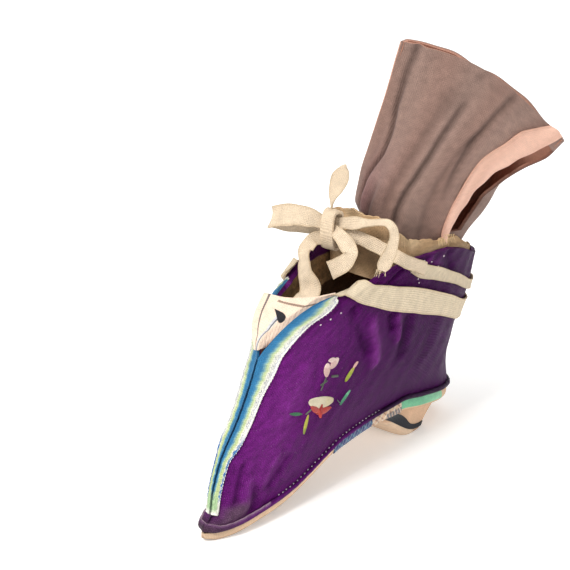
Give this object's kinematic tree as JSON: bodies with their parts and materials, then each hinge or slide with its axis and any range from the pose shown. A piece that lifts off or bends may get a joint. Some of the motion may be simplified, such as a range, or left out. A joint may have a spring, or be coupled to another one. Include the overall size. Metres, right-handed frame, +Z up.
{
  "type": "shoe",
  "caption": "Small silk ankle shoe with a pointed toe, a steep arch over a low heel, a V throat, and a tall cotton shaft tied with tape.",
  "frame": {"origin": "on the floor, at the middle of the heel's flat foot", "axes": "+Z up, -Y from the heel to the toe, +X to the wearer's left"},
  "size_m": [0.0648, 0.1543, 0.141],
  "materials": {
    "sole_cotton": "worn cotton",
    "purple_silk": "satin silk",
    "ribbon_trim": "woven ribbon",
    "insert_cotton": "plain cotton",
    "lining_cotton": "worn cotton",
    "shaft_cotton": "plain cotton",
    "cotton_tape": "twill tape"
  },
  "bodies": {
    "root": {"outsole": "sole_cotton", "heel": "sole_cotton", "insole": "insert_cotton", "upper": "purple_silk", "sole_binding": "purple_silk", "vamp_ribbon_left": "ribbon_trim", "vamp_ribbon_right": "ribbon_trim", "vamp_insert": "insert_cotton", "collar_lining": "lining_cotton", "shaft": "shaft_cotton", "ankle_band_lower": "cotton_tape", "ankle_band_upper": "cotton_tape", "tie_knot": "cotton_tape", "pull_tape": "cotton_tape", "upright_end": "cotton_tape", "bow_loop": "cotton_tape", "folded_end": "cotton_tape", "tie_tail": "cotton_tape", "tie_lead": "cotton_tape"}
  },
  "joints": []
}
